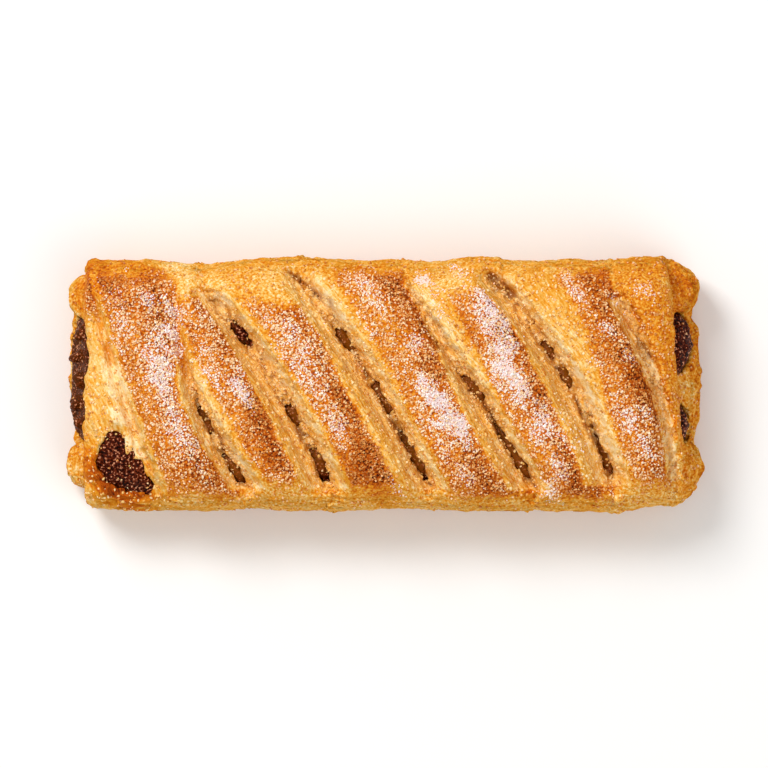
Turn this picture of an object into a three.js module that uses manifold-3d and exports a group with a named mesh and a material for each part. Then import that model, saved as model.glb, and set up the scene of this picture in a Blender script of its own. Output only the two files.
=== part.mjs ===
// Mince pie roll: a parcel of puff pastry, flat underneath, whose lid is cut by slanting slits into slats.
// The slats have risen and pulled apart in the oven, so mincemeat shows in the slits, in a burst patch of
// the lid and at both open ends.
// Millimetres. +X runs along the roll, +Y across it and +Z up. The roll rests on Z = 0.

import * as THREE from "three";
import { mergeVertices } from "three/addons/utils/BufferGeometryUtils.js";
import Module from "manifold-3d";

const wasm = await Module();
wasm.setup();

const { lerp, smoothstep, clamp, degToRad } = THREE.MathUtils;

// Overall size
const ROLL_LENGTH = 150;
const ROLL_WIDTH = 60;
const ROLL_HEIGHT = 30;

// The section across the roll: where the sides are widest, how wide and how long the flat underside is, how
// square the shoulders are and where the flat of the lid ends
const BELLY_HEIGHT = 10;
const FOOT = { width: 52, length: 135 };
const SHOULDER_POWER = 5;
const SHOULDER_AT = 24;

// Unevenness of the baked dough: how deep and how long the waves of the long edges, the crust and the torn
// layers are
const EDGE_WAVE = { deep: 0.3, long: 62 };
const CRUST_WAVE = { deep: 0.35, long: 9 };
const CRAG_WAVE = { deep: 0.45, long: 4.4 };
const WAVE_DIRECTIONS = [
  { x: 0.92, y: 0.39, shift: 1.7 },
  { x: -0.45, y: 1.13, shift: 2.9 },
  { x: 1.21, y: -0.74, shift: 4.3 },
];

// Dents in the long edges, on the side that faces +Y (side 1) or -Y (side -1)
const EDGE_DENTS = [
  { side: 1, x: -66, deep: 0.7, half: 12 },
  { side: 1, x: -43, deep: 1.7, half: 18 },
  { side: 1, x: -6, deep: 0.7, half: 12 },
  { side: 1, x: 11, deep: 1.2, half: 12 },
  { side: 1, x: 34, deep: 1.2, half: 12 },
  { side: 1, x: 50, deep: 0.9, half: 14 },
  { side: -1, x: -70, deep: 1.2, half: 10 },
  { side: -1, x: -31, deep: 0.7, half: 7 },
  { side: -1, x: 5, deep: 0.8, half: 18 },
  { side: -1, x: 68, deep: 2, half: 14 },
];

// The slits, from the left end to the right: where each crosses the middle line, how far it leans to -X for
// each millimetre of +Y, how it bends, its two ends across the roll, its depth at each of them, and the gaps
// that have opened right down to the mincemeat, as start, end and half width
const SLITS = [
  { mid: -62, lean: 0.33, bend: 0.002, ends: [24, -27], depths: [1.2, 2.4], gaps: [] },
  {
    mid: -45, lean: 0.34, bend: 0.008, ends: [24, -27], depths: [1, 8],
    gaps: [[-4.5, -12, 1], [-14.5, -23.5, 0.8]],
  },
  {
    mid: -25.2, lean: 0.64, bend: -0.005, ends: [24, -27], depths: [7, 8],
    gaps: [[15.5, 8, 1.6], [-4, -10, 1.2], [-12.5, -23, 1.3]],
  },
  {
    mid: -2.2, lean: 0.63, bend: -0.003, ends: [28, -27], depths: [7, 8],
    gaps: [[14, 6.5, 1.2], [1.5, -7.5, 1.2], [-10, -22, 1.2]],
  },
  {
    mid: 20.4, lean: 0.64, bend: -0.001, ends: [27, -27], depths: [4, 8],
    gaps: [[3, -4, 1.6], [-8, -21, 1]],
  },
  {
    mid: 43.6, lean: 0.58, bend: -0.006, ends: [28, -26], depths: [7, 8],
    gaps: [[11, 5, 1.2], [4.5, -2, 1.5], [-8, -21, 0.9]],
  },
  { mid: 63.6, lean: 0.31, bend: -0.006, ends: [23, -26], depths: [5, 4.5], gaps: [] },
];
const SLIT_TAPER = 5;

// The section of a slit: distances from its line, and the share of its depth that is open there. The flank
// on its left is long and the one on its right steep, both stepped where layers of pastry have parted. They
// reach this far where a slit has its full depth, and less where it is shallower.
const LONG_FLANK = [[0, 1], [1.2, 0.95], [2, 0.68], [3.8, 0.54], [4.5, 0.24], [6.4, 0]];
const STEEP_FLANK = [[0, 1], [1.2, 0.95], [2, 0.6], [4.4, 0]];
const FULL_DEPTH = 7.5;
const REACH_POWER = 1.5;
const LEAST_REACH = 0.3;
const GAP_DIP = 2;
const GAP_WALL = 0.7;
const GAP_TAPER = 1.2;

// The slats: how high each stands against the highest, how wide the slope beside a lower slat is, how arched
// each is and where its arch peaks. The two end slats have no filling to lift them and lie low, except at
// the corners on the +Y side.
const SLAT_RISE = [-5, -0.4, -0.9, 0, -0.3, 0, -0.2, -3];
const RISE_SPAN = 4.5;
const SLAT_ARCH = 1.3;
const SLAT_PEAK = 0.42;
const SLAT_LEAST = 11.6;
const CORNER_RISE_FROM = 12;

// The ends: how far the cut edge of the lid stands back from the tip of the base sheet, leans back as it
// rises and slants across the roll, the bowed lip of the base sheet below it, and the rounding of both at
// the corners
const LID_BACK = { left: 4.7, right: 6 };
const LID_LEAN = { left: 0.06, right: 0.08 };
const LID_SLANT = { left: 0, right: 0.06 };
const LID_WAVE = { deep: 0.5, long: 11 };
const LID_DROOP = 1.6;
const LIP_ROOT = { left: 3.6, right: 3 };
const BOW = { at: 1.5, half: 16 };
const LIP_TOP = 5;
const LIP_FADE = 8.5;
const CORNER_ROUND = { left: 1.4, right: 2.6 };
const CORNER_FROM = 23;

// The pinched corners: a browned knob of dough at each, past the cut edge of the lid
const KNOBS = [
  { x: -69.2, y: 20.4, z: 7.8, along: 4.9, across: 5.6, up: 6.6 },
  { x: -69.2, y: -18.8, z: 7.4, along: 5.6, across: 5.8, up: 6.2 },
  { x: 67.6, y: 22.2, z: 9.4, along: 6.6, across: 6.2, up: 8.2 },
  { x: 69, y: -20, z: 8.4, along: 6, across: 7.2, up: 7 },
];

// The burst patch in the left end slat: the corners of its ragged edge, and how far and how widely the crust
// sinks around it
const BURST_CORNERS = [
  [-64.2, -10], [-66.3, -13.5], [-67, -20], [-62.5, -24.2], [-55, -25.2], [-53.8, -23.6], [-59.3, -14.5],
];
const BURST_RAGGED = 0.4;
const BURST_SINK = { deep: 1.2, wide: 3.5 };

// The mincemeat: one core from end to end, open at the left end and rounded off at the right
const CORE = { left: -74.2, right: 66, half: 23, floor: 5.6, roof: 16.5, square: 4 };
const CORE_MOUTH = { half: 14.4, at: 1.3, roof: 14.5, slope: 9, inset: 0.2 };
const CORE_TAPER = 12;
const CORE_TIP = { half: 0.35, high: 0.5 };
const CORE_WAVE = { deep: 0.35, long: 7 };
const CLEARANCE = 0.35;

// Where the mincemeat is squeezed up into the slits, out of the burst patch and out of the right end
const GAP_FILL = { wider: 1.4, deep: 3.8, proud: 0.9, stretch: 1.25 };
const BURST_FILL = { floor: 13, below: 0.9, dome: 0.6, inner: 0.7 };
const RIGHT_FINGERS = [
  { x: 65.5, y: 9.4, z: 10.6, along: 8, across: 8.8, up: 5.8 },
  { x: 65.5, y: -9.8, z: 10.2, along: 7.6, across: 6.2, up: 5.2 },
];

// Raisins that stand out of the mincemeat at the ends and in the burst patch
const RAISINS = [
  { x: -71.6, y: 12, z: 12.5, long: 4.6, turn: 70 },
  { x: -72.3, y: 6.5, z: 10, long: 4.8, turn: 20 },
  { x: -71.9, y: 1, z: 12.5, long: 5.2, turn: 110 },
  { x: -72.6, y: -4.5, z: 9.5, long: 4.6, turn: 60 },
  { x: -71.6, y: -9.5, z: 12, long: 4.4, turn: 140 },
  { x: -61.5, y: -18.5, z: 22.2, long: 4.4, turn: 30 },
  { x: -64.3, y: -18.2, z: 22.4, long: 4, turn: 120 },
  { x: -58.6, y: -21.8, z: 21, long: 4.2, turn: 160 },
  { x: 70.4, y: 12.6, z: 13, long: 4.6, turn: 95 },
  { x: 70.8, y: 6.6, z: 12.4, long: 4.6, turn: 75 },
  { x: 70.2, y: -9.6, z: 12.4, long: 4.2, turn: 95 },
];
const RAISIN_GIRTH = 0.62;
const LUMP_UNEVEN = 0.08;

// How finely the faces are cut
const TOP_COLUMNS = 2;
const END_RINGS = 3;
const CROWN_ROWS = 28;
const UNDER_ROWS = 8;
const ROW_CROWDING = 0.8;
const CORE_COLUMNS = 18;
const CORE_ROWS = 14;
const CORE_CROWDING = 0.12;
const BURST_SIDES = 22;
const KNOB_DETAIL = 2;
const LUMP_DETAIL = 1;

const rows = CROWN_ROWS + UNDER_ROWS;
const crownShare = CROWN_ROWS / rows;
const lastSlat = SLAT_RISE.length - 1;
const leftStops = STEEP_FLANK.map(([distance]) => distance);
const rightStops = LONG_FLANK.map(([distance]) => distance).reverse();
const slatColumns = leftStops.length + TOP_COLUMNS + rightStops.length - 1;
const burstCorners = BURST_CORNERS.map(([x, y]) => new THREE.Vector2(x, y));
const burstMiddle = burstCorners.reduce((sum, corner) => sum.add(corner), new THREE.Vector2());
burstMiddle.divideScalar(burstCorners.length);

// A repeatable unevenness of about -1 to 1: three crossed waves
function unevenness(x, y, wavelength, phase) {
  let sum = 0;
  for (const wave of WAVE_DIRECTIONS) {
    sum += Math.sin((2 * Math.PI * (wave.x * x + wave.y * y)) / wavelength + wave.shift * phase);
  }
  return sum / WAVE_DIRECTIONS.length;
}

// A cylinder's closed grid of vertices, each moved to place(column, around, onAxis): column counts the rings
// from the -X end, and around goes from 0 to 1 from the +Y side over the top and back underneath
function skin(columns, sides, place) {
  const cylinder = new THREE.CylinderGeometry(1, 1, 1, sides, columns);
  cylinder.deleteAttribute("normal");
  cylinder.deleteAttribute("uv");
  const geometry = mergeVertices(cylinder);
  const position = geometry.getAttribute("position");
  for (let i = 0; i < position.count; i++) {
    const column = Math.round((position.getY(i) + 0.5) * columns);
    const angle = Math.atan2(position.getX(i), position.getZ(i));
    const around = (angle / (2 * Math.PI) + 1) % 1;
    const onAxis = Math.hypot(position.getX(i), position.getZ(i)) < 0.5;
    position.setXYZ(i, ...place(column, around, onAxis));
  }
  return geometry;
}

function solidOf(geometry) {
  const bare = geometry.clone();
  bare.deleteAttribute("normal");
  bare.deleteAttribute("uv");
  const merged = mergeVertices(bare, 1e-3);
  return new wasm.Manifold(
    new wasm.Mesh({
      numProp: 3,
      vertProperties: new Float32Array(merged.getAttribute("position").array),
      triVerts: new Uint32Array(merged.index.array),
    }),
  );
}

function geometryOf(solid) {
  const mesh = solid.getMesh();
  const geometry = new THREE.BufferGeometry();
  geometry.setAttribute("position", new THREE.BufferAttribute(mesh.vertProperties, 3));
  geometry.setIndex(new THREE.BufferAttribute(mesh.triVerts, 1));
  geometry.computeVertexNormals();
  return geometry;
}

// An egg-shaped, slightly uneven lump, larger all round by grow
function lump(at, radii, turn, grow, detail) {
  const geometry = new THREE.IcosahedronGeometry(1, detail);
  const position = geometry.getAttribute("position");
  const point = new THREE.Vector3();
  for (let i = 0; i < position.count; i++) {
    point.fromBufferAttribute(position, i);
    point.multiplyScalar(1 + LUMP_UNEVEN * unevenness(point.x + at.x, point.y + point.z, 2, at.y));
    position.setXYZ(i, point.x, point.y, point.z);
  }
  const place = new THREE.Matrix4().compose(
    at,
    new THREE.Quaternion().setFromAxisAngle(new THREE.Vector3(0, 0, 1), turn),
    radii.clone().addScalar(grow),
  );
  return solidOf(geometry.applyMatrix4(place));
}

// Where a slit runs: it stops leaning at the shoulders
function slitX(slit, y) {
  const inner = clamp(y, -SHOULDER_AT, SHOULDER_AT);
  return slit.mid - slit.lean * inner + slit.bend * inner * inner;
}

// The share of a slit's depth that is open at a distance d along X from its line
function openShare(d) {
  const flank = d < 0 ? LONG_FLANK : STEEP_FLANK;
  const next = flank.findIndex(([distance]) => distance > Math.abs(d));
  if (next < 0) return 0;
  const [near, nearShare] = flank[next - 1];
  const [far, farShare] = flank[next];
  return lerp(nearShare, farShare, (Math.abs(d) - near) / (far - near));
}

function depthAlong(slit, y) {
  const [top, foot] = slit.ends;
  return lerp(slit.depths[1], slit.depths[0], smoothstep(y, foot, top));
}

// How far the flanks of a slit reach at y, as a share of their full reach
function flankReach(slit, y) {
  return clamp(Math.pow(depthAlong(slit, y) / FULL_DEPTH, REACH_POWER), LEAST_REACH, 1);
}

// How deep a slit is at (x, y): tapered at its two ends, and dipping to the mincemeat where it has opened
function slitDepth(slit, x, y) {
  const d = x - slitX(slit, y);
  const [top, foot] = slit.ends;
  const footRamp = smoothstep(y, foot, foot + SLIT_TAPER);
  const topRamp = 1 - smoothstep(y, top - SLIT_TAPER, top);
  const depth = depthAlong(slit, y);
  const open = openShare(d / flankReach(slit, y));
  const crag = CRAG_WAVE.deep * unevenness(x, y, CRAG_WAVE.long, slit.mid) * Math.min(1, 2 * open);
  let dip = 0;
  for (const [from, to, half] of slit.gaps) {
    const past = smoothstep(y, to - GAP_TAPER, to + GAP_TAPER);
    const before = 1 - smoothstep(y, from - GAP_TAPER, from + GAP_TAPER);
    const nearLine = 1 - smoothstep(Math.abs(d), half, half + GAP_WALL);
    dip = Math.max(dip, GAP_DIP * past * before * nearLine);
  }
  return (depth * open + crag) * footRamp * topRamp + dip;
}

// The end face at (y, z): the lid's leaning cut edge above, sloping out to the base sheet's bowed lip below,
// which curls under to the straight end of the underside
function endX(side, y, z) {
  const outward = side === "left" ? -1 : 1;
  const fromBow = (y - BOW.at) / BOW.half;
  const bow = Math.sqrt(Math.max(0, 1 - fromBow * fromBow));
  const lipBack = LIP_ROOT[side] * (1 - bow);
  const lean = LID_LEAN[side] * Math.max(0, z - LIP_TOP - LIP_FADE);
  const wave = LID_WAVE.deep * unevenness(y, z, LID_WAVE.long, LID_BACK[side]);
  const lidBack = LID_BACK[side] + LID_SLANT[side] * y + lean + wave;
  const back = lerp(lipBack, lidBack, smoothstep(z, LIP_TOP, LIP_TOP + LIP_FADE));
  const corner = CORNER_ROUND[side] * Math.pow(smoothstep(Math.abs(y), CORNER_FROM, ROLL_WIDTH / 2), 2);
  const curl = Math.sqrt(clamp(z / LIP_TOP, 0, 1));
  return outward * lerp(FOOT.length / 2, ROLL_LENGTH / 2 - back - corner, curl);
}

// The line on the left of a slat: an end face, or a slit, drawn in towards the underside below the belly
function slatEdgeX(slat, y, z) {
  if (slat === 0) return endX("left", y, z);
  if (slat > lastSlat) return endX("right", y, z);
  const drawnIn = lerp(FOOT.length / ROLL_LENGTH, 1, smoothstep(z, 0, BELLY_HEIGHT));
  return slitX(SLITS[slat - 1], y) * drawnIn;
}

function slatOf(column) {
  return Math.min(Math.floor(column / slatColumns), lastSlat);
}

// The reach of the slit on the left of a slat, or 1 at an end face
function slatEdgeReach(slat, y) {
  return slat === 0 || slat > lastSlat ? 1 : flankReach(SLITS[slat - 1], y);
}

// Where a column of the skin lies at (y, z). The columns over a slat follow the steps of the slit on its
// left, spread over its top, and follow the steps of the slit on its right. A narrow slat squeezes them.
function columnX(column, y, z) {
  const slat = slatOf(column);
  const step = column - slat * slatColumns;
  const left = slatEdgeX(slat, y, z);
  const right = slatEdgeX(slat + 1, y, z);
  const squeeze = Math.min(1, (right - left) / SLAT_LEAST);
  const leftReach = squeeze * slatEdgeReach(slat, y);
  const rightReach = squeeze * slatEdgeReach(slat + 1, y);
  if (step < leftStops.length) return left + leftStops[step] * leftReach;
  const fromRight = step - leftStops.length - TOP_COLUMNS;
  if (fromRight >= 0) return right - rightStops[fromRight] * rightReach;
  const share = (step - leftStops.length + 1) / (TOP_COLUMNS + 1);
  return lerp(left + leftStops.at(-1) * leftReach, right - rightStops[0] * rightReach, share);
}

// Half the roll's width on the side that faces +Y (side 1) or -Y (side -1)
function halfWidth(x, side) {
  const wave = unevenness(x, side * ROLL_WIDTH, EDGE_WAVE.long, side);
  let half = ROLL_WIDTH / 2 - EDGE_WAVE.deep + EDGE_WAVE.deep * wave;
  for (const dent of EDGE_DENTS) {
    if (dent.side === side) half -= dent.deep * (1 - smoothstep(Math.abs(x - dent.x), 0, dent.half));
  }
  return half;
}

// How far the ragged edge of the burst patch is from its middle, at an angle from +X
function burstEdge(angle) {
  const direction = new THREE.Vector2(Math.cos(angle), Math.sin(angle));
  let nearest = Infinity;
  burstCorners.forEach((corner, index) => {
    const side = burstCorners[(index + 1) % burstCorners.length].clone().sub(corner);
    const distance = corner.clone().sub(burstMiddle).cross(side) / direction.cross(side);
    if (distance > 0) nearest = Math.min(nearest, distance);
  });
  return nearest + BURST_RAGGED * (Math.sin(5 * angle) + Math.sin(8 * angle + 1));
}

// How far the crust sinks at (x, y) towards the burst patch
function burstSink(x, y) {
  const fromMiddle = new THREE.Vector2(x, y).sub(burstMiddle);
  const gap = fromMiddle.length() - burstEdge(fromMiddle.angle());
  return BURST_SINK.deep * (1 - smoothstep(gap, 0, BURST_SINK.wide));
}

// How the slats stand against the highest at (x, y): the slope between two is on the flank of the higher one
function slatRise(x, y) {
  let rise = SLAT_RISE[0];
  SLITS.forEach((slit, index) => {
    const step = SLAT_RISE[index + 1] - SLAT_RISE[index];
    const d = x - slitX(slit, y);
    rise += step * (step > 0 ? smoothstep(d, 0, RISE_SPAN) : smoothstep(d, -RISE_SPAN, 0));
  });
  return rise;
}

// The baked top of a slat at (x, y)
function crustZ(slat, x, y) {
  const left = slatEdgeX(slat, y, ROLL_HEIGHT);
  const right = slatEdgeX(slat + 1, y, ROLL_HEIGHT);
  const fromPeak = 2 * ((x - left) / (right - left) - SLAT_PEAK);
  const low = slatRise(x, y) * (1 - smoothstep(y, CORNER_RISE_FROM, SHOULDER_AT));
  const bump = CRUST_WAVE.deep * unevenness(x, y, CRUST_WAVE.long, slat);
  const toEnd = Math.min(x + ROLL_LENGTH / 2 - LID_BACK.left, ROLL_LENGTH / 2 - LID_BACK.right - x);
  const droop = LID_DROOP * (1 - smoothstep(toEnd, -1, 5));
  const across = Math.min(1, Math.abs(y) / halfWidth(x, Math.sign(y)));
  const shoulder = Math.sqrt(1 - Math.pow(across, SHOULDER_POWER));
  const crown = ROLL_HEIGHT + low - SLAT_ARCH * fromPeak * fromPeak + bump - droop;
  const cut = Math.max(burstSink(x, y), ...SLITS.map((slit) => slitDepth(slit, x, y)));
  const top = lerp(BELLY_HEIGHT, crown, shoulder) - cut * Math.min(1, 1.4 * shoulder);
  return Math.max(top, BELLY_HEIGHT);
}

// Half the roll's width where a column of the skin meets the shoulder on that side
function columnHalfWidth(column, side) {
  return halfWidth(columnX(column, side * SHOULDER_AT, ROLL_HEIGHT), side);
}

// A point of the pastry's outside, without its end faces
function wallPoint(column, around) {
  if (around < crownShare) {
    const q = 1 - (2 * around) / crownShare;
    const bend = (ROW_CROWDING * Math.PI) / 2;
    const across = Math.sin(bend * q) / Math.sin(bend);
    const y = across * columnHalfWidth(column, Math.sign(across));
    const z = crustZ(slatOf(column), columnX(column, y, ROLL_HEIGHT), y);
    return [columnX(column, y, z), y, z];
  }
  const under = (around - crownShare) / (1 - crownShare);
  const side = under < 0.5 ? -1 : 1;
  const fromBelly = 4 * Math.min(under, 1 - under);
  const half = columnHalfWidth(column, side);
  const turn = (clamp(fromBelly, 0, 1) * Math.PI) / 2;
  const tuck = (half - FOOT.width / 2) * (1 - Math.cos(turn));
  const y = side * (half - tuck - (FOOT.width / 2) * clamp(fromBelly - 1, 0, 1));
  const z = BELLY_HEIGHT * (1 - Math.sin(turn));
  return [columnX(column, y, z), y, z];
}

// The pastry's whole outside: rings across the left end face, the slats one after another, and rings across
// the right end face
function pastrySkin() {
  const lastColumn = SLAT_RISE.length * slatColumns;
  const lastRing = lastColumn + 2 * END_RINGS;
  const faceMiddle = BELLY_HEIGHT + 2;
  return skin(lastRing, rows, (ring, around, onAxis) => {
    const side = ring < lastRing / 2 ? "left" : "right";
    if (onAxis) return [endX(side, 0, faceMiddle), 0, faceMiddle];
    const column = clamp(ring - END_RINGS, 0, lastColumn);
    const [x, y, z] = wallPoint(column, around);
    const beyond = Math.abs(ring - END_RINGS - column);
    if (beyond === 0) return [x, y, z];
    const share = 1 - beyond / (END_RINGS + 1);
    const faceY = y * share;
    const faceZ = lerp(faceMiddle, z, share);
    return [endX(side, faceY, faceZ), faceY, faceZ];
  });
}

// The mincemeat core, all round larger by grow and, at the open left end, longer by extra
function coreSkin(grow, extra) {
  const squared = (share) => Math.sign(share) * Math.pow(Math.abs(share), 2 / CORE.square);
  return skin(CORE_COLUMNS, CORE_ROWS, (column, around, onAxis) => {
    const share = column / CORE_COLUMNS;
    const station = lerp(CORE.left, CORE.right, share - CORE_CROWDING * Math.sin(2 * Math.PI * share));
    const fromMouth = smoothstep(station, CORE.left, CORE.left + CORE_TAPER);
    const toTip = clamp((station - CORE.right + CORE_TAPER) / CORE_TAPER, 0, 1);
    const round = Math.sqrt(1 - toTip * toTip);
    const roof = lerp(CORE_MOUTH.roof, CORE.roof, fromMouth);
    const half = lerp(CORE_MOUTH.half, CORE.half, fromMouth) * lerp(CORE_TIP.half, 1, round);
    const high = ((roof - CORE.floor) / 2) * lerp(CORE_TIP.high, 1, round);
    const across = onAxis ? 0 : squared(Math.cos(2 * Math.PI * around));
    const up = onAxis ? 0 : squared(Math.sin(2 * Math.PI * around));
    const y = lerp(CORE_MOUTH.at, 0, fromMouth) + half * across;
    const z = (roof + CORE.floor) / 2 + high * up;
    const toMouth = 1 - smoothstep(station, CORE.left, CORE.left + CORE_MOUTH.slope);
    const slope = (endX("left", y, z) + CORE_MOUTH.inset - CORE.left) * toMouth;
    const reach = column === 0 ? -extra : column === CORE_COLUMNS ? grow : 0;
    const flat = column === 0 || onAxis;
    const swell = flat ? 0 : CORE_WAVE.deep * unevenness(station, y + z, CORE_WAVE.long, 2);
    return [station + slope + reach, y + grow * across, z + grow * up + swell];
  });
}

// Mincemeat squeezed up into each opened gap of the slits
function gapFills(grow) {
  return SLITS.flatMap((slit, index) =>
    slit.gaps.map(([from, to, half]) => {
      const y = (from + to) / 2;
      const x = slitX(slit, y);
      const slope = slit.lean - 2 * slit.bend * y;
      const long = (GAP_FILL.stretch * Math.hypot(1, slope) * (from - to)) / 2;
      const z = crustZ(index + 1, x, y) + GAP_FILL.proud - GAP_FILL.deep;
      const radii = new THREE.Vector3(long, half + GAP_FILL.wider, GAP_FILL.deep);
      return lump(new THREE.Vector3(x, y, z), radii, Math.atan2(1, -slope), grow, LUMP_DETAIL);
    }),
  );
}

// Mincemeat in the burst patch: its edge follows the patch, and its top the crust, slightly domed and higher
// by extra
function burstFill(grow, extra) {
  return solidOf(
    skin(2, BURST_SIDES, (ring, around, onAxis) => {
      const angle = 2 * Math.PI * around;
      const inner = ring === 2 ? BURST_FILL.inner : 1;
      const reach = onAxis ? 0 : (burstEdge(angle) + grow) * inner;
      const x = burstMiddle.x + reach * Math.cos(angle);
      const y = burstMiddle.y + reach * Math.sin(angle);
      if (ring === 0) return [x, y, BURST_FILL.floor - grow];
      const dome = ring === 2 ? BURST_FILL.dome : 0;
      return [x, y, crustZ(0, x, y) - BURST_FILL.below + dome + grow + extra];
    }),
  );
}

function rightFingers(grow) {
  return RIGHT_FINGERS.map(({ x, y, z, along, across, up }) =>
    lump(new THREE.Vector3(x, y, z), new THREE.Vector3(along, across, up), 0, grow, LUMP_DETAIL),
  );
}

function raisins(grow) {
  return RAISINS.map(({ x, y, z, long, turn }) => {
    const girth = long * RAISIN_GIRTH;
    const radii = new THREE.Vector3(long, girth, girth).divideScalar(2);
    return lump(new THREE.Vector3(x, y, z), radii, degToRad(turn), grow, LUMP_DETAIL);
  });
}

// All the mincemeat, larger all round by grow, and reaching further out of the left end and the burst patch
// by extra
function mincemeatSolid(grow, extra) {
  const core = solidOf(coreSkin(grow, extra));
  const squeezed = [burstFill(grow, extra), ...gapFills(grow), ...rightFingers(grow), ...raisins(grow)];
  return wasm.Manifold.union([core, ...squeezed]);
}

// The pastry: its outside and its pinched corners, hollowed for the mincemeat
function pastrySolid() {
  const knobs = KNOBS.map(({ x, y, z, along, across, up }) =>
    lump(new THREE.Vector3(x, y, z), new THREE.Vector3(along, across, up), 0, 0, KNOB_DETAIL),
  );
  const whole = wasm.Manifold.union([solidOf(pastrySkin()), ...knobs]);
  return whole.subtract(mincemeatSolid(CLEARANCE, LID_BACK.left));
}

const pastry = new THREE.Mesh(
  geometryOf(pastrySolid()),
  new THREE.MeshStandardMaterial({ color: 0xd9963c, roughness: 0.7, metalness: 0 }),
);
pastry.name = "pastry";

const mincemeat = new THREE.Mesh(
  geometryOf(mincemeatSolid(0, 0)),
  new THREE.MeshStandardMaterial({ color: 0x4a2412, roughness: 0.4, metalness: 0 }),
);
mincemeat.name = "mincemeat";

const roll = new THREE.Group();
roll.add(pastry, mincemeat);

export default roll;
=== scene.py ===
import bmesh
import bpy
import numpy as np
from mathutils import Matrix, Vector, noise
from mathutils.bvhtree import BVHTree


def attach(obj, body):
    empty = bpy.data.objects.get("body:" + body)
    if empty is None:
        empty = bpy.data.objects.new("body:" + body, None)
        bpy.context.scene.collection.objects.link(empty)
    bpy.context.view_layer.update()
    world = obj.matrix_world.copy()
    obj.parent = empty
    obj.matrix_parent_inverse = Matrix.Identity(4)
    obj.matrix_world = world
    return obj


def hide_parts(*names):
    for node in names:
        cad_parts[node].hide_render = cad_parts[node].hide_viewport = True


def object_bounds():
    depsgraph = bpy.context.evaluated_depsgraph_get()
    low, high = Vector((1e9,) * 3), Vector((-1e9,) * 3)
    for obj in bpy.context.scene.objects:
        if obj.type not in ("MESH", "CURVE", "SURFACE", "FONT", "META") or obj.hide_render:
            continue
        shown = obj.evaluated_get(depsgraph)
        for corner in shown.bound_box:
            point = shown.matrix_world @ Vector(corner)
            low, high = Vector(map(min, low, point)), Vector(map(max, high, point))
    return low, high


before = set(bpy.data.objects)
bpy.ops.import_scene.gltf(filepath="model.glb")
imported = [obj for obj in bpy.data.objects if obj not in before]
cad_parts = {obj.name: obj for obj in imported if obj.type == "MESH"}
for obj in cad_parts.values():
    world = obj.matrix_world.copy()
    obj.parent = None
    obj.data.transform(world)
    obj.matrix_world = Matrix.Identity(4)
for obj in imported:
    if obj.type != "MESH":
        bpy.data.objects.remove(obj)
cad_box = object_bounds()


# The pastry parcel
# Puff pastry: a base sheet and a slit lid of laminated dough, pinched at the corners, washed with egg and
# baked. The slats of the lid brown on top, and the slits tear open on pale, flaky layers.

# Sizes are in millimetres, and MM turns them into metres
MM = 0.001
MERGE_WITHIN = 0.002
PASTRY_VOXEL = 0.42
PASTRY_TRIANGLES = 190000
ROLL_TOP = cad_box[1].z / MM
HALF_WIDTH = cad_box[1].y / MM
HALF_LENGTH = cad_box[1].x / MM
BELLY_HEIGHT = 10
SHOULDER_POWER = 5
LEAN_STOPS_AT = 24
SLIT_TAPER = 5
WALLS_CHANGE = (24, -12)

# Where each part of the parcel begins and where it is reached in full: how far out the sides, the ends and
# the pinched corners are, how high the lid is, where the torn left slat stops, where the burst patch and the
# right end meet the slits, and how high the filling in the slits is
SIDES = (25.5, 27.5)
ENDS = (69.5, 71.5)
CORNERS = (69, 71)
LID = (12, 15)
TORN_SLAT_STOPS = (12, 19)
BURST_STOPS = (-54, -51)
RIGHT_END = (62, 64)
FILLING_IN_SLITS = (16, 19)

# The middle of the burst patch and how far it reaches
BURST_X = -62.5
BURST_Y = -20.5
BURST_REACH = 8

# The slits from left to right: where each crosses the middle line, its lean and bend, its two ends across
# the roll, and its depth and the widths of its left and right walls at each of them
SLIT_COLUMNS = ["mid", "lean", "bend", "ends", "depths", "left", "right"]
SLIT_ROWS = [
    (-62, 0.33, 0.002, (24, -27), (1.2, 2.4), (1.5, 1.5), (1.6, 2.2)),
    (-45, 0.34, 0.008, (24, -27), (1, 8), (0.2, 4.3), (0.2, 5)),
    (-25.2, 0.64, -0.005, (24, -27), (7, 8), (3.5, 6.8), (5.5, 4.8)),
    (-2.2, 0.63, -0.003, (28, -27), (7, 8), (5, 8.3), (6.8, 3.6)),
    (20.4, 0.64, -0.001, (27, -27), (4, 8), (0.6, 6.8), (7.5, 3)),
    (43.6, 0.58, -0.006, (28, -26), (7, 8), (4.5, 7.4), (13.5, 4)),
    (63.6, 0.31, -0.006, (23, -26), (5, 4.5), (3.4, 1.6), (1.4, 1.4)),
]
SLITS = [dict(zip(SLIT_COLUMNS, row)) for row in SLIT_ROWS]

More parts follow.
